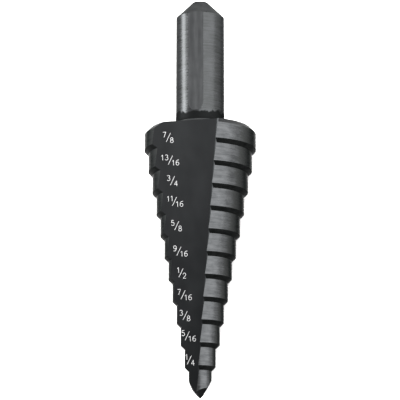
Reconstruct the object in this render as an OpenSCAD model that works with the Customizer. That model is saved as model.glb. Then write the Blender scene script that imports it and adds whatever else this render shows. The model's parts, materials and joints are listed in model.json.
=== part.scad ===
// Two-flute step drill, ground from one bar of high-speed steel
// The drill is drawn standing on its point, with the front flute towards -Y, and is then laid down
// on its steps as it rests on a bench. An azimuth is measured from the front towards +X, in degrees.

/* [Point] */
// Diameter of the pilot behind the point
pilot_d = 4.76; // [3:0.01:5.6]
// Length from the tip to the first shoulder
pilot_l = 5.14; // [4:0.01:9]
// Azimuth towards which the front flank climbs
flank_azimuth = 38; // [25:1:50]
// Slope of the flanks from a plane across the axis
flank_slope = 36.5; // [30:0.5:42]
// Azimuth towards which the relief behind the front flank climbs
relief_azimuth = 96; // [85:1:105]
// Slope of the reliefs from a plane across the axis
relief_slope = 60.5; // [52:0.5:66]
// Distance from the axis at which the reliefs would start beside the tip
relief_start = 0.25; // [0.1:0.01:0.5]

/* [Steps] */
// Number of steps above the pilot
step_count = 11; // [4:1:12]
// Diameter of the first step
first_step_d = 6.35; // [5.8:0.01:8]
// Growth in diameter from one step to the next
step_growth = 1.5875; // [1:0.0125:2]
// Distance from one step to the next
step_pitch = 4.28; // [3.6:0.01:6]
// Angle of the shoulders to the axis
shoulder_angle = 45; // [38:1:60]
// Length of the land on the last step
last_land_l = 3.15; // [2:0.05:6]
// Chamfer above the last step
top_chamfer = 1; // [0.4:0.1:1.6]

/* [Lands] */
// How far each land's own axis lies from the drill's axis, which clears the land behind its edge
land_relief = 0.28; // [0.1:0.01:0.5]
// Azimuth at which the front land stands highest
land_azimuth = 17; // [5:1:30]
// Azimuth of the plane on which the two halves of the body meet, inside the flutes
half_azimuth = -30; // [-40:1:-25]

/* [Flutes] */
// Thickness of the web between the flute roots at the tip
web = 0.42; // [0.34:0.01:0.8]
// Radius in the root of each flute
root_r = 0.9; // [0.7:0.05:1.2]
// Azimuth of the front flute's root at the tip
root_azimuth = -79; // [-84:1:-72]
// Angle at which the root climbs away from the axis
flute_rise = 10.5; // [9:0.1:12]
// Angle at which the root leans sideways
flute_lean = 4.2; // [2:0.1:6]
// Tilt of the flute's floor
floor_tilt = 12.9; // [8:0.1:18]
// Rake of the cutting edges
rake_angle = 20.6; // [10:0.1:25]

/* [Shank] */
// Diameter of the shank
shank_d = 9.525; // [8:0.005:10]
// Length of the shank above the last step
shank_l = 26; // [20:0.5:40]
// Chamfer on the end of the shank
end_chamfer = 3.2; // [0.5:0.1:3.6]
// Length of the neck between the steps and the ground part of the shank
neck_l = 3.4; // [3:0.1:8]
// How far the unground neck stands proud of the ground shank
neck_proud = 0.02; // [0.01:0.01:0.1]
// Fillet between the neck and the steps
neck_fillet = 2; // [0.5:0.1:2.2]
// Number of drive flats
flat_count = 3; // [2:1:4]
// Width of each drive flat
flat_w = 3; // [2:0.1:4]
// How far the flats reach into the neck before they run out
flat_overrun = 0.5; // [0.4:0.1:0.8]
// Radius at which the flats run out
flat_run_r = 8; // [6:0.5:15]
// Azimuth of the first flat
flat_azimuth = -11; // [-60:1:60]

/* [Hidden] */
$fn = 96;

pilot_r = pilot_d / 2;
shank_r = shank_d / 2;
shoulder_h = step_growth / 2 / tan(shoulder_angle);
first_z = pilot_l + (first_step_d - pilot_d) / 2 / tan(shoulder_angle);
last_step = step_count - 1;
top_z = step_z(last_step) + last_land_l + top_chamfer;
end_z = top_z + shank_l;
// Reach of the cutting tools, past every face of the drill
reach = end_z;
// Radius of the neck, and how deep its root goes into the steps
neck_r = shank_r + neck_proud;
root_lap = top_chamfer;

// Depth of the flats below the round, and the stretch over which they run out
flat_inset = sqrt(pow(shank_r, 2) - pow(flat_w / 2, 2));
flat_run_l = sqrt(2 * flat_run_r * (shank_r - flat_inset) - pow(shank_r - flat_inset, 2));
flat_z = top_z + neck_l - flat_overrun + flat_run_l;

function step_r(k) = (first_step_d + k * step_growth) / 2;
function step_z(k) = first_z + k * step_pitch;
function land_top(k) = k == last_step ? step_z(k) + last_land_l : step_z(k + 1) - shoulder_h;
function azimuth(a) = [sin(a), -cos(a), 0];
function unit(v) = v / norm(v);

// Turns a direction drawn across the root of the flute to where the climbing root carries it
function climb(v) =
    let (y = v.y * cos(flute_rise) - v.z * sin(flute_rise))
    let (z = v.y * sin(flute_rise) + v.z * cos(flute_rise))
    [v.x * cos(flute_lean) + z * sin(flute_lean), y, z * cos(flute_lean) - v.x * sin(flute_lean)];

// The front flute: the middle of its root at the tip, and the way its two walls face
root_middle = (web / 2 + root_r) * azimuth(root_azimuth);
rake_normal = climb([cos(rake_angle), -sin(rake_angle), 0]);
floor_normal = climb([sin(floor_tilt), cos(floor_tilt), 0]);

// Point where a flute wall meets the corner of step k: land is 1 on the front land, -1 on the back
// one, and way picks one of the two crossings
function corner(normal, k, land, way) =
    let (centre = land * land_relief * azimuth(land_azimuth))
    let (r = step_r(k) - land_relief)
    let (rest = root_r + normal * root_middle - normal.z * step_z(k) - normal * centre)
    let (turn = atan2(normal.y, normal.x) + way * acos(rest / r / norm([normal.x, normal.y])))
    centre + [r * cos(turn), r * sin(turn), step_z(k)];

// The drill lies on three corners beside a flute: both edges of the last step and a low cutting edge
low_step = floor(step_count / 2);
high_cut = corner(rake_normal, last_step, 1, -1);
high_heel = corner(floor_normal, last_step, -1, 1);
low_cut = corner(rake_normal, low_step, 1, -1);
down = unit(cross(low_cut - high_heel, high_cut - high_heel));

// The frame of the bench: X runs from the point to the shank's end, and Z is up. The front flute lies
// uppermost, so the bench is drawn across the back one.
up = [down.x, down.y, -down.z];
along = unit([0, 0, 1] - up.z * up);
aside = cross(up, along);
grip_point = [0, 0, end_z - end_chamfer];

// Outline of the steps, with every radius less the land relief
function step_outline() = concat(
    [[0, 0], [pilot_r, 0], [pilot_r, pilot_l]],
    [for (k = [0 : last_step]) each [[step_r(k), step_z(k)], [step_r(k), land_top(k)]]],
    [[step_r(last_step) - top_chamfer, top_z], [0, top_z]]
);

module stepped_blank() {
    translate(land_relief * azimuth(land_azimuth))
        rotate_extrude()
            polygon([for (p = step_outline()) [max(p.x - land_relief, 0), p.y]]);
}

// What a grinding wheel leaves above a plane that climbs at a slope towards an azimuth, and crosses the
// tip's level at a distance from the axis
module above_plane(azimuth, slope, start) {
    rotate([0, 0, azimuth - 90])
        translate([start, 0, 0])
            rotate([0, -slope, 0])
                translate([-reach, -reach, 0])
                    cube(2 * reach);
}

// Half of the steps with the front land and the relief behind its flank
module land_half() {
    intersection() {
        stepped_blank();
        above_plane(relief_azimuth, relief_slope, relief_start);
        rotate([0, 0, half_azimuth])
            translate([0, -reach / 2, 0])
                cube(reach);
    }
}

// Both halves, pointed by the two flanks
module pointed_blank() {
    intersection() {
        union()
            for (side = [0, 180])
                rotate([0, 0, side])
                    land_half();
        above_plane(flank_azimuth, flank_slope, 0);
        above_plane(flank_azimuth + 180, flank_slope, 0);
    }
}

// Section of the space that one flute leaves, about the middle of its root: a leg along each wall and
// the corner between them
module flute_section() {
    rake_way = [-sin(rake_angle), -cos(rake_angle)];
    floor_way = [-cos(floor_tilt), sin(floor_tilt)];
    circle(root_r);
    rotate(-rake_angle)
        translate([-root_r, -reach])
            square([2 * root_r, reach]);
    rotate(-floor_tilt)
        translate([-reach, -root_r])
            square([reach, 2 * root_r]);
    polygon([[0, 0], reach * floor_way, reach * (floor_way + rake_way), reach * rake_way]);
}

module flute() {
    translate(root_middle)
        rotate([flute_rise, flute_lean, 0])
            translate([0, 0, -pilot_l])
                linear_extrude(height = reach)
                    flute_section();
}

module steps() {
    difference() {
        pointed_blank();
        for (side = [0, 180])
            rotate([0, 0, side])
                flute();
    }
}

// Section of the cut for one flat, with its run-out below
module flat_section() {
    translate([-flat_run_r, 0])
        circle(flat_run_r);
    translate([-2 * flat_run_r, 0])
        square([2 * flat_run_r, reach]);
}

module flat_cut() {
    translate([0, -flat_inset, flat_z])
        rotate([90, 0, 90])
            linear_extrude(height = shank_d, center = true)
                flat_section();
}

// The round shank with its end chamfer, and the neck and fillet that carry it on the steps
module shank_blank() {
    translate([0, 0, top_z])
        cylinder(h = shank_l - end_chamfer, r = shank_r);
    translate([0, 0, end_z - end_chamfer])
        cylinder(h = end_chamfer, r1 = shank_r, r2 = shank_r - end_chamfer);
    translate([0, 0, top_z - root_lap])
        cylinder(h = root_lap + neck_l, r = neck_r);
    translate([0, 0, top_z])
        rotate_extrude()
            difference() {
                translate([0, -root_lap])
                    square([neck_r + neck_fillet, neck_fillet + root_lap]);
                translate([neck_r + neck_fillet, neck_fillet])
                    circle(neck_fillet);
            }
}

module shank() {
    difference() {
        shank_blank();
        for (i = [0 : flat_count - 1])
            rotate([0, 0, flat_azimuth + 360 * i / flat_count])
                flat_cut();
    }
}

module step_drill() {
    color("dimgray")
        multmatrix([
            [along.x, along.y, along.z, -along * grip_point],
            [aside.x, aside.y, aside.z, -aside * grip_point],
            [up.x, up.y, up.z, -up * grip_point]
        ])
            union() {
                steps();
                shank();
            }
}

step_drill();
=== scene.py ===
import json
import bmesh
import bpy
import numpy as np
from mathutils import Matrix, Vector


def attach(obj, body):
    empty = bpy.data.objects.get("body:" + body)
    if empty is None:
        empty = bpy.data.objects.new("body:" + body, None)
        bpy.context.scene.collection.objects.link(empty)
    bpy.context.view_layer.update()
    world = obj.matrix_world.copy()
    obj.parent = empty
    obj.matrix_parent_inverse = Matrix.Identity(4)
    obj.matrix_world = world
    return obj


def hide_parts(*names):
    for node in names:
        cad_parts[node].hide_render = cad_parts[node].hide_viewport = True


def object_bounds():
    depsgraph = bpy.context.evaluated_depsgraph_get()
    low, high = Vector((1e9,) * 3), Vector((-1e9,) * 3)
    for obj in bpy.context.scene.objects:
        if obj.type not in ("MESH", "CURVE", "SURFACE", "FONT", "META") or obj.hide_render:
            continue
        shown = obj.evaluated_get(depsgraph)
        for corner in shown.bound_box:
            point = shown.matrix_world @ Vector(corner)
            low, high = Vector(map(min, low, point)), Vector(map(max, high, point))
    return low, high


# A black oxide step drill, lying on a pale bench under two side lights
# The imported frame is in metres: X runs from the point to the shank, Z is up
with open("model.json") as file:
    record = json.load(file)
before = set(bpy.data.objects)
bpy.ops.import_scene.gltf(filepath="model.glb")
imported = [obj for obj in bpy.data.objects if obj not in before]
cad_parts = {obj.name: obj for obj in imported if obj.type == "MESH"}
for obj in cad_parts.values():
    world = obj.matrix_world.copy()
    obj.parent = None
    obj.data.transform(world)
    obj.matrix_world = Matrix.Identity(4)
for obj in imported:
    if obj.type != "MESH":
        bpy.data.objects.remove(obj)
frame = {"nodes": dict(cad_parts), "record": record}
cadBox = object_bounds()
print("loaded", sorted(frame["nodes"]))

mm = 0.001


def directionOf(values):
    return Vector(values).normalized()


# Camera: long lens, above the point and looking back along the drill
camera = {
    "place": (-188.2, -174.4, 384.9),  # mm
    "look": (0.3349, 0.3851, -0.8600),
    "above": (0.9410, -0.0884, 0.3268),
    "lens": 209.34,  # mm
    "sensor": 36.0,  # mm
    "clip": (0.01, 10.0),  # m
}


def addCamera(values):
    data = bpy.data.cameras.new("photoCamera")
    data.lens = values["lens"]
    data.sensor_width = values["sensor"]
    data.clip_start, data.clip_end = values["clip"]
    look = directionOf(values["look"])
    right = look.cross(directionOf(values["above"])).normalized()
    above = right.cross(look)
    turn = Matrix((right, above, -look)).transposed().to_4x4()
    thing = bpy.data.objects.new("photoCamera", data)
    thing.matrix_world = Matrix.Translation(Vector(values["place"]) * mm) @ turn
    bpy.context.scene.collection.objects.link(thing)
    bpy.context.scene.camera = thing


addCamera(camera)
print("camera placed")


def linear(hexColour):
    # sRGB hex to the linear values that a shader takes
    part = np.array([int(hexColour[i : i + 2], 16) for i in (1, 3, 5)]) / 255.0
    line = np.where(part <= 0.04045, part / 12.92, ((part + 0.055) / 1.055) ** 2.4)
    return (*line.tolist(), 1.0)


def addNode(tree, kind, settings=None, inputs=None):
    # settings go on the node itself; an input is a number, a colour, or another node's output
    node = tree.nodes.new(kind)
    for name, value in (settings or {}).items():
        setattr(node, name, value)
    for name, value in (inputs or {}).items():
        if isinstance(value, bpy.types.NodeSocket):
            tree.links.new(value, node.inputs[name])
        else:
            node.inputs[name].default_value = value
    return node


def newMaterial(name):
    material = bpy.data.materials.new(name)
    material.use_nodes = True
    material.node_tree.nodes.clear()
    return material, material.node_tree


# Black oxide on ground high-speed steel: a thin skin of magnetite that keeps the steel's grinding lines,
# so each face is a dark grey metal whose gloss depends on how it was ground
axisDirection = directionOf(frame["record"]["mounts"][0]["axis"])
# out of the middle of the front land's bright part, where the lands' painted highlight is centred, square
# to the axis
landDirection = directionOf((-0.0935, -0.6725, 0.7341))

# In mm, lineAcross and lineAlong are the size of the ground pattern across the drill and along it,
# lineDepth is its depth, and patch is the size of the blotches in it. True grinding lines are too fine to
# show in the render, so they are drawn as coarse as they need to show. paintedShadeShare is the part of
# the tone that is painted shade, changing along the drill, and edgeTint is the colour at grazing angles.
finishes = {
    # flutes: form ground along the drill and satin, with painted shade that darkens them towards the point
    "flute": {
        "dark": "#151617", "light": "#2a2b2c", "roughness": 0.42, "edgeTint": "#c8c8c8", "paintedShadeShare": 0.75,
        "lineAcross": 5.0, "lineAlong": 9.0, "lineDepth": 0.002, "patch": 3.0,
    },
    # lands: ground round the drill, with a painted highlight behind their cutting edges and painted shade
    # towards their heels
    "land": {
        "dark": "#2d2e2f", "light": "#3e3f40", "roughness": 0.28, "edgeTint": "#a4a4a4", "paintedShadeShare": 0.0,
        "lineAcross": 3.0, "lineAlong": 0.4, "lineDepth": 0.010, "patch": 1.2,
        "heelShade": "#303131", "highlightSpread": 26.0,  # degrees to each side of landDirection that the painted highlight spans; beyond it the heels take a darker painted shade
    },
    # shoulders and the point's flanks: cut by the wheel's corner and coarse, with painted shade that makes
    # them almost black where they face the dark below the point
    "shoulder": {
        "dark": "#0b0c0c", "light": "#161717", "roughness": 0.5, "edgeTint": "#bcbcbc", "paintedShadeShare": 0.0,
        "lineAcross": 2.0, "lineAlong": 0.4, "lineDepth": 0.006, "patch": 1.0,
    },
    # shank: centreless ground and smooth, down to a ragged edge where the dark neck begins, its black
    # partly oxide left unground and partly painted shade in the corner against the body
    "shank": {
        "dark": "#292a2a", "light": "#343536", "roughness": 0.29, "edgeTint": "#acacac", "paintedShadeShare": 0.0,
        "lineAcross": 4.0, "lineAlong": 0.3, "lineDepth": 0.002, "patch": 2.5,
        "neckTop": -19.9,  # mm along the drill, middle of the neck's edge
        "ragged": 3.6,  # mm, how far the patches pull that edge
    },
    # drive flats: milled along the shank
    "flat": {
        "dark": "#3b3c3d", "light": "#454647", "roughness": 0.36, "edgeTint": "#a0a0a0", "paintedShadeShare": 0.0,
        "lineAcross": 0.8, "lineAlong": 8.0, "lineDepth": 0.003, "patch": 2.0,
    },
    # chamfer and face on the shank's end: turned, then blackened
    "end": {
        "dark": "#3d3e3f", "light": "#484949", "roughness": 0.42, "edgeTint": "#a0a0a0", "paintedShadeShare": 0.0,
        "lineAcross": 1.2, "lineAlong": 1.2, "lineDepth": 0.004, "patch": 1.5,
    },
}
# what the six finishes share
skin = {
    "patchShare": 0.4,  # of the patches among the grinding lines
    "contrast": (0.35, 0.65),  # stretch of that grain from the dark tone to the light one
    "climb": (-72.0, -26.0),  # mm along the drill, over which the painted shade on a flute lifts to its lighter tone
    "lineRange": (0.3, 0.7),  # stretch of the lines from the glossiest to the dullest
    "glossSpread": 0.05,  # of the roughness, to each side
}
# neck: black and dull, partly oxide left unground and partly painted shade in the corner against the body
neckOxideAndShade = {
    "colour": "#151616",
    "roughness": 0.6,
    "blend": 0.15,  # mm to each side of its edge
}
# edge of the lands' painted highlight, in shares of a cosine
highlightEdge = {
    "ragged": 0.12,  # how far the grinding lines pull it
    "blend": 0.02,  # how softly it ends, to each side
}


def neckEdge(tree, height, patches, values):
    # 0 on the neck and 1 on the ground shank: height along the drill, moved by the patches
    edge = addNode(tree, "ShaderNodeMath", {"operation": "MULTIPLY_ADD"}, {
        0: patches.outputs["Fac"], 1: values["ragged"] * mm, 2: height,
    })
    middle = values["neckTop"] + values["ragged"] / 2
    return addNode(tree, "ShaderNodeMapRange", {}, {
        "Value": edge.outputs["Value"], "From Min": (middle - neckOxideAndShade["blend"]) * mm,
        "From Max": (middle + neckOxideAndShade["blend"]) * mm,
    }).outputs["Result"]


def paintedHighlightPart(tree, place, turned, lines, values):
    # 1 in the painted highlight behind the cutting edges and 0 in the painted shade at the heels: the
    # cosine of the angle round the axis from landDirection, without its sign, which makes it the same on
    # both lands
    outward = addNode(tree, "ShaderNodeVectorMath", {"operation": "DOT_PRODUCT"}, {
        0: place.outputs["Object"], 1: landDirection,
    })
    across = addNode(tree, "ShaderNodeVectorMath", {"operation": "MULTIPLY"}, {
        0: turned.outputs["Vector"], 1: (1.0, 1.0, 0.0),
    })
    radius = addNode(tree, "ShaderNodeVectorMath", {"operation": "LENGTH"}, {0: across.outputs["Vector"]})
    cosine = addNode(tree, "ShaderNodeMath", {"operation": "DIVIDE"}, {
        0: outward.outputs["Value"], 1: radius.outputs["Value"],
    })
    size = addNode(tree, "ShaderNodeMath", {"operation": "ABSOLUTE"}, {0: cosine.outputs["Value"]})
    edge = addNode(tree, "ShaderNodeMath", {"operation": "MULTIPLY_ADD"}, {
        0: lines.outputs["Fac"], 1: highlightEdge["ragged"], 2: size.outputs["Value"],
    })
    middle = float(np.cos(np.radians(values["highlightSpread"]))) + highlightEdge["ragged"] / 2
    return addNode(tree, "ShaderNodeMapRange", {}, {
        "Value": edge.outputs["Value"], "From Min": middle - highlightEdge["blend"],
        "From Max": middle + highlightEdge["blend"],
    }).outputs["Result"]


def blackOxide(name, values):
    material, tree = newMaterial("blackOxide" + name.capitalize())
    place = addNode(tree, "ShaderNodeTexCoord")
    # turned so that the pattern's z runs along the drill
    turn = axisDirection.to_track_quat("Z", "Y").inverted().to_euler()
    turned = addNode(tree, "ShaderNodeMapping", {}, {
        "Vector": place.outputs["Object"], "Rotation": turn,
    })
    across, along = values["lineAcross"] * mm, values["lineAlong"] * mm
    stretched = addNode(tree, "ShaderNodeMapping", {}, {
        "Vector": turned.outputs["Vector"], "Scale": (1 / across, 1 / across, 1 / along),
    })
    lines = addNode(tree, "ShaderNodeTexNoise", {}, {
        "Vector": stretched.outputs["Vector"], "Scale": 1.0, "Detail": 2.0, "Roughness": 0.6,
    })
    patches = addNode(tree, "ShaderNodeTexNoise", {}, {
        "Vector": place.outputs["Object"], "Scale": 1 / (values["patch"] * mm), "Detail": 4.0,
    })
    # output 0 of a Mix node is a mixed number, made from sockets 2 and 3
    grain = addNode(tree, "ShaderNodeMix", {}, {
        0: skin["patchShare"], 2: lines.outputs["Fac"], 3: patches.outputs["Fac"],
    })
    contrast = addNode(tree, "ShaderNodeMapRange", {}, {
        "Value": grain.outputs[0], "From Min": skin["contrast"][0], "From Max": skin["contrast"][1],
    })
    height = addNode(tree, "ShaderNodeSeparateXYZ", {}, {"Vector": turned.outputs["Vector"]}).outputs["Z"]
    # painted shade: the flute's colour darkens towards the point, over a stretch along the drill
    climb = addNode(tree, "ShaderNodeMapRange", {}, {
        "Value": height, "From Min": skin["climb"][0] * mm, "From Max": skin["climb"][1] * mm,
    })
    share = addNode(tree, "ShaderNodeMix", {}, {
        0: values["paintedShadeShare"], 2: contrast.outputs["Result"], 3: climb.outputs["Result"],
    })
    # sockets 6 and 7 of a Mix node are its two colours, and output 2 is their mix
    tone = addNode(tree, "ShaderNodeMix", {"data_type": "RGBA"}, {
        0: share.outputs[0], 6: linear(values["dark"]), 7: linear(values["light"]),
    })
    gloss = addNode(tree, "ShaderNodeMapRange", {}, {
        "Value": lines.outputs["Fac"], "From Min": skin["lineRange"][0], "From Max": skin["lineRange"][1],
        "To Min": values["roughness"] - skin["glossSpread"],
        "To Max": values["roughness"] + skin["glossSpread"],
    })
    bump = addNode(tree, "ShaderNodeBump", {}, {
        "Height": lines.outputs["Fac"], "Distance": values["lineDepth"] * mm, "Strength": 1.0,
    })
    colour, roughness = tone.outputs[2], gloss.outputs["Result"]
    if "neckTop" in values:
        ground = neckEdge(tree, height, patches, values)
        # the neck's black: oxide left unground, deepened with painted shade in the corner against the body
        colour = addNode(tree, "ShaderNodeMix", {"data_type": "RGBA"}, {
            0: ground, 6: linear(neckOxideAndShade["colour"]), 7: colour,
        }).outputs[2]
        roughness = addNode(tree, "ShaderNodeMix", {}, {
            0: ground, 2: neckOxideAndShade["roughness"], 3: roughness,
        }).outputs[0]
    if "highlightSpread" in values:
        # painted highlight and shade on the lands: their grain tone where they catch the light, a flat
        # darker heel colour elsewhere
        colour = addNode(tree, "ShaderNodeMix", {"data_type": "RGBA"}, {
            0: paintedHighlightPart(tree, place, turned, lines, values), 6: linear(values["heelShade"]), 7: colour,
        }).outputs[2]
    shader = addNode(tree, "ShaderNodeBsdfPrincipled", {}, {
        "Base Color": colour, "Metallic": 1.0, "Roughness": roughness,
        "Specular Tint": linear(values["edgeTint"]), "Normal": bump.outputs["Normal"],
    })
    addNode(tree, "ShaderNodeOutputMaterial", {}, {"Surface": shader.outputs["BSDF"]})
    return material


# The drill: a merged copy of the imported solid, with its finishes sorted by how each face stands
drillBody = {
    "merge": 0.0001,  # mm between corners that are one
    "sharpFrom": 26.0,  # degrees between two faces
    "bodyTop": -22.8,  # mm along the drill, where the steps end
    "shankRadius": 4.7625,  # mm
    "flatDepth": 0.03,  # mm below the round, from which a face is on a flat
    "landSlope": 0.02,  # most slope of a land along the axis
    "landFacing": 0.985,  # how squarely a land faces away from the axis
    "landFrom": 1.6,  # mm from the axis, to leave out the flutes' roots
    "steep": 0.4,  # slope along the axis from which a face is a shoulder or the shank's end
}


def faceValues(mesh, name, width):
    values = np.empty(len(mesh.polygons) * width)
    mesh.polygons.foreach_get(name, values)
    return values.reshape(-1, width)


def sortFaces(mesh, values):
    # Each face takes its finish from how it stands to the drill's axis: slope is its normal along the
    # axis, facing is its normal away from the axis, and distance is how far it lies from the axis
    axis = np.array(axisDirection)
    normal, centre = faceValues(mesh, "normal", 3), faceValues(mesh, "center", 3)
    height = centre @ axis
    outward = centre - height[:, None] * axis
    distance = np.linalg.norm(outward, axis=1)
    slope = normal @ axis
    facing = (normal * outward).sum(1) / np.maximum(distance, 1e-9)
    names = list(finishes)
    kind = np.full(len(height), names.index("flute"))
    onShank = height > values["bodyTop"] * mm
    isLand = (abs(slope) < values["landSlope"]) & (facing > values["landFacing"])
    isCut = distance < (values["shankRadius"] - values["flatDepth"]) * mm
    kind[~onShank & isLand & (distance > values["landFrom"] * mm)] = names.index("land")
    kind[~onShank & (slope < -values["steep"])] = names.index("shoulder")
    kind[onShank & (slope < values["steep"])] = names.index("shank")
    kind[onShank & isCut & (slope < values["steep"])] = names.index("flat")
    kind[onShank & (slope > values["steep"])] = names.index("end")
    return kind


def sharpenBorders(mesh):
    # an edge is also sharp where the finish changes: the least and the greatest finish round it differ;
    # every face is a triangle, so each finish is repeated for its three corners
    edge, face = np.empty(len(mesh.loops), np.int32), np.empty(len(mesh.polygons), np.int32)
    mesh.loops.foreach_get("edge_index", edge)
    mesh.polygons.foreach_get("material_index", face)
    finish = np.repeat(face, 3)
    least, greatest = np.full(len(mesh.edges), len(finishes)), np.zeros(len(mesh.edges), int)
    np.minimum.at(least, edge, finish)
    np.maximum.at(greatest, edge, finish)
    sharp = np.empty(len(mesh.edges), bool)
    mesh.edges.foreach_get("use_edge_sharp", sharp)
    mesh.edges.foreach_set("use_edge_sharp", sharp | (least < greatest))


def dressDrill(values):
    node = frame["nodes"]["step_drill"]
    mesh = node.data.copy()
    mesh.name = "stepDrill"
    # the loaded corner normals would average across the merged edges, so they go before the merge
    loaded = mesh.attributes.get("custom_normal")
    if loaded:
        mesh.attributes.remove(loaded)
    shape = bmesh.new()
    shape.from_mesh(mesh)
    bmesh.ops.remove_doubles(shape, verts=shape.verts, dist=values["merge"] * mm)
    bmesh.ops.recalc_face_normals(shape, faces=shape.faces)
    shape.to_mesh(mesh)
    shape.free()
    mesh.materials.clear()
    for name, finish in finishes.items():
        mesh.materials.append(blackOxide(name, finish))
    mesh.polygons.foreach_set("material_index", sortFaces(mesh, values).astype(np.int32))
    mesh.shade_smooth()
    mesh.set_sharp_from_angle(angle=np.radians(values["sharpFrom"]))
    sharpenBorders(mesh)
    piece = bpy.data.objects.new("stepDrill", mesh)
    bpy.context.scene.collection.objects.link(piece)
    weights = piece.modifiers.new("flatFacesStayFlat", "WEIGHTED_NORMAL")
    weights.keep_sharp = True
    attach(piece, "root")
    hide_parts("step_drill")
    return piece


drill = dressDrill(drillBody)
print("drill dressed", len(drill.data.polygons), "faces")


# Size marks: each step's diameter as an inch fraction, laser marked beside it on the flute's floor
sizeMarks = {
    "fractions": ("1/4", "5/16", "3/8", "7/16", "1/2", "9/16", "5/8", "11/16", "3/4", "13/16", "7/8"),
    "first": (-67.4, -1.95),  # mm along and across the floor, to the middle of the first mark
    "stride": (4.31, -0.25),  # mm from one mark to the next
    "drift": (0.1, 0.4, 0.0, -0.3, -0.4, -0.5, 0.1, 0.5, 0.2, -0.1, 0.0),  # mm that each mark strays along
    "height": 1.00,  # mm, of a digit
    "width": 0.60,  # mm, of a digit
    "narrow": 0.23,  # mm, of the digit 1
    "gap": 0.48,  # mm, between two digits
    "slash": (0.90, 1.65),  # mm wide and high
    "left": -0.46,  # mm, where the numerator ends
    "right": 0.36,  # mm, where the denominator begins
    "stroke": 0.09,  # mm wide
    "lift": 0.06,  # share of a digit's height by which it clears the mark's middle
    "relief": 0.012,  # mm proud, burnt up by the laser
    "crease": 60.0,  # degrees between two faces, from which an edge is sharp
    "floorUp": 0.5,  # least upward part of the floor's normal
    "dark": "#8a8a8a",
    "light": "#c4c4c4",
    "roughness": 0.75,
    "grain": 0.35,  # mm, of the pale powder, coarser than the real one so that it shows
}
# points along a straight stroke, along a curved one, and round a bead
linePoints, bowPoints, beadPoints = 3, 19, 7


def line(*corners):
    # even steps along one straight stroke
    start, end = np.array(corners, float)
    t = np.linspace(0, 1, linePoints)[:, None]
    return start + t * (end - start)


def bow(centre, radii, fromAngle, toAngle):
    # part of an ellipse: centre plus radii times the cosine and sine of the angle
    t = np.radians(np.linspace(fromAngle, toAngle, bowPoints))
    return np.array(centre) + np.array(radii) * np.stack([np.cos(t), np.sin(t)], 1)


# strokes of each digit, drawn about 1 high and drawnWidth wide; a nine is a six turned by half a turn
drawnWidth = 0.62
six = [np.concatenate([bow((0.52, 0.50), (0.50, 0.50), 78, 180), line((0.02, 0.50), (0.02, 0.33))[1:]]),
       bow((0.31, 0.30), (0.29, 0.30), 0, 360)]
digits = {
    "1": [line((0.0, 0.78), (0.24, 1.0)), line((0.24, 1.0), (0.24, 0.0))],
    "2": [bow((0.31, 0.71), (0.28, 0.29), 165, -38), line((0.53, 0.53), (0.02, 0.0)),
          line((0.02, 0.0), (0.62, 0.0))],
    "3": [bow((0.29, 0.76), (0.26, 0.24), 150, -85), bow((0.29, 0.26), (0.31, 0.26), 85, -150)],
    "4": [line((0.46, 0.0), (0.46, 1.0)), line((0.46, 1.0), (0.0, 0.32)), line((0.0, 0.32), (0.64, 0.32))],
    "5": [line((0.56, 1.0), (0.12, 1.0)), line((0.12, 1.0), (0.08, 0.56)),
          bow((0.29, 0.32), (0.31, 0.32), 132, -150)],
    "6": six,
    "7": [line((0.0, 1.0), (0.60, 1.0)), line((0.60, 1.0), (0.20, 0.0))],
    "8": [bow((0.31, 0.76), (0.24, 0.23), 0, 360), bow((0.31, 0.26), (0.30, 0.26), 0, 360)],
    "9": [np.array([drawnWidth, 1.0]) - stroke for stroke in six],
}
slash = [line((0.0, 0.0), (1.0, 1.0))]


def fractionStrokes(text, values):
    # numerator up to the left of the slash, denominator down to its right, about the middle of the mark
    top, bottom = text.split("/")
    digit = np.array([values["width"] / drawnWidth, values["height"]])
    spans = {letter: values["narrow"] if letter == "1" else values["width"] for letter in digits}
    length = sum(spans[letter] for letter in top) + values["gap"] * (len(top) - 1)
    strokes = [(stroke - 0.5) * values["slash"] for stroke in slash]
    rows = ((top, values["left"] - length, values["lift"]), (bottom, values["right"], -1 - values["lift"]))
    for word, start, base in rows:
        corner = np.array([start, base * values["height"]])
        for letter in word:
            strokes += [stroke * digit + corner for stroke in digits[letter]]
            corner = corner + (spans[letter] + values["gap"], 0.0)
    return strokes


def sweep(path, out, width, rise):
    # A low half-round bead along a path: at each point the path's normal in the floor and the floor's own
    # normal carry a half ellipse, width across and rise high, closed by a base that lies as far below the
    # floor; a path that ends where it starts is a loop without caps
    isLoop = np.allclose(path[0], path[-1], rtol=0, atol=1e-9)
    if isLoop:
        path = path[:-1]
        step = np.roll(path, -1, axis=0) - np.roll(path, 1, axis=0)
    else:
        step = np.gradient(path, axis=0)
    step /= np.linalg.norm(step, axis=1, keepdims=True)
    side = np.cross(out, step)
    turn = np.linspace(0, np.pi, beadPoints)
    ring = np.concatenate([
        np.stack([np.cos(turn) * width / 2, np.sin(turn) * rise], 1),
        [[-width / 2, -rise], [width / 2, -rise]],
    ])
    grid = path[:, None] + ring[None, :, :1] * side[:, None] + ring[None, :, 1:] * out
    rows, columns = grid.shape[:2]
    i, j = np.meshgrid(np.arange(rows if isLoop else rows - 1), np.arange(columns), indexing="ij")
    m, n = (i + 1) % rows, (j + 1) % columns
    quads = np.stack([i * columns + j, i * columns + n, m * columns + n, m * columns + j], -1)
    caps = [list(range(columns))[::-1], list(range((rows - 1) * columns, rows * columns))]
    return grid.reshape(-1, 3), quads.reshape(-1, 4).tolist() + ([] if isLoop else caps)


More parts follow.
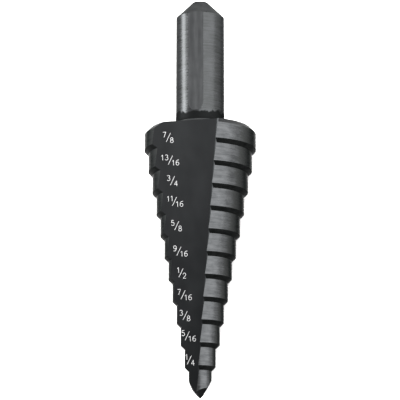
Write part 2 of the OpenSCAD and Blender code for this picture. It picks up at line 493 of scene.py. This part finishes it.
def markSizes(values, mesh):
    # the flute's floor is the largest face that looks up
    normal, area = faceValues(mesh, "normal", 3), faceValues(mesh, "area", 1)[:, 0]
    centre = faceValues(mesh, "center", 3)
    floor = np.argmax(np.where(normal[:, 2] > values["floorUp"], area, 0.0))
    out = normal[floor] / np.linalg.norm(normal[floor])
    axis = np.array(axisDirection)
    up = axis - (axis @ out) * out
    up /= np.linalg.norm(up)
    right = np.cross(up, out)
    base = (centre[floor] @ out) * out
    verts, faces, count = [], [], 0
    for number, text in enumerate(values["fractions"]):
        middle = np.array(values["first"]) + number * np.array(values["stride"])
        middle[0] += values["drift"][number]
        for stroke in fractionStrokes(text, values):
            flat = stroke * mm
            path = base + (middle[0] * mm + flat[:, 1:]) * up + (middle[1] * mm + flat[:, :1]) * right
            points, quads = sweep(path, out, values["stroke"] * mm, values["relief"] * mm)
            verts.append(points)
            faces += [[k + count for k in face] for face in quads]
            count += len(points)
    marks = bpy.data.meshes.new("sizeMarks")
    marks.from_pydata(np.concatenate(verts).tolist(), [], faces)
    marks.shade_smooth()
    marks.set_sharp_from_angle(angle=np.radians(values["crease"]))
    piece = bpy.data.objects.new("sizeMarks", marks)
    bpy.context.scene.collection.objects.link(piece)
    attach(piece, "root")
    return piece


def laserMark(values):
    # Laser-annealed scale: the oxide burnt back to a pale, powdery grey that scatters light
    material, tree = newMaterial("laserMarkedOxide")
    place = addNode(tree, "ShaderNodeTexCoord")
    grain = addNode(tree, "ShaderNodeTexNoise", {}, {
        "Vector": place.outputs["Object"], "Scale": 1 / (values["grain"] * mm), "Detail": 2.0,
    })
    tone = addNode(tree, "ShaderNodeMix", {"data_type": "RGBA"}, {
        0: grain.outputs["Fac"], 6: linear(values["dark"]), 7: linear(values["light"]),
    })
    shader = addNode(tree, "ShaderNodeBsdfPrincipled", {}, {
        "Base Color": tone.outputs[2], "Roughness": values["roughness"],
    })
    addNode(tree, "ShaderNodeOutputMaterial", {}, {"Surface": shader.outputs["BSDF"]})
    return material


marks = markSizes(sizeMarks, drill.data)
marks.data.materials.append(laserMark(sizeMarks))
print("sizes marked", len(marks.data.polygons), "faces")


# Bench and lights
bench = {
    "colour": "#f4f4f3",
    "size": 3.0,  # m
    "roughness": 0.6,
}


def addBench(values):
    # Matt laminate: even and pale, with no gloss to mirror the drill
    material, tree = newMaterial("paleLaminate")
    shader = addNode(tree, "ShaderNodeBsdfPrincipled", {}, {
        "Base Color": linear(values["colour"]), "Roughness": values["roughness"],
    })
    addNode(tree, "ShaderNodeOutputMaterial", {}, {"Surface": shader.outputs["BSDF"]})
    half = values["size"] / 2
    height = cadBox[0].z
    mesh = bpy.data.meshes.new("bench")
    mesh.from_pydata(
        [(-half, -half, height), (half, -half, height), (half, half, height), (-half, half, height)],
        [], [(0, 1, 2, 3)],
    )
    mesh.materials.append(material)
    floor = bpy.data.objects.new("bench", mesh)
    bpy.context.scene.collection.objects.link(floor)


# Each light is a panel in a direction from the middle of the drill, with its distance and size in m, the
# size along the drill and round it, and its glow, which is the same however large the panel is
drillMiddle = (-36.0, 0.0, 0.0)  # mm
lights = {
    "rightPanel": {"toward": (0.240, -0.791, 0.562), "distance": 0.7, "size": (0.65, 1.00), "glow": 5.1},
    "leftPanel": {"toward": (0.16, 0.84, 0.50), "distance": 0.7, "size": (0.60, 0.26), "glow": 22.0},
}


def addLight(name, values):
    data = bpy.data.lights.new(name, "AREA")
    data.shape = "RECTANGLE"
    data.size, data.size_y = values["size"]
    data.energy = values["glow"] * np.pi * data.size * data.size_y
    thing = bpy.data.objects.new(name, data)
    away = directionOf(values["toward"])
    along = (Vector((1.0, 0.0, 0.0)) - away.x * away).normalized()
    turn = Matrix((along, away.cross(along), away)).transposed().to_4x4()
    middle = Vector(drillMiddle) * mm
    thing.matrix_world = Matrix.Translation(middle + away * values["distance"]) @ turn
    bpy.context.scene.collection.objects.link(thing)


sky = {
    "colour": "#ffffff",
    "strength": 1.6,
}


def addSky(values):
    world = bpy.data.worlds.new("studio")
    world.use_nodes = True
    world.node_tree.nodes.clear()
    glow = addNode(world.node_tree, "ShaderNodeBackground", {}, {
        "Color": linear(values["colour"]), "Strength": values["strength"],
    })
    addNode(world.node_tree, "ShaderNodeOutputWorld", {}, {"Surface": glow.outputs["Background"]})
    bpy.context.scene.world = world


addBench(bench)
for lightName, lightValues in lights.items():
    addLight(lightName, lightValues)
addSky(sky)
bpy.context.scene.view_settings.view_transform = "Standard"
print("bench and lights set")
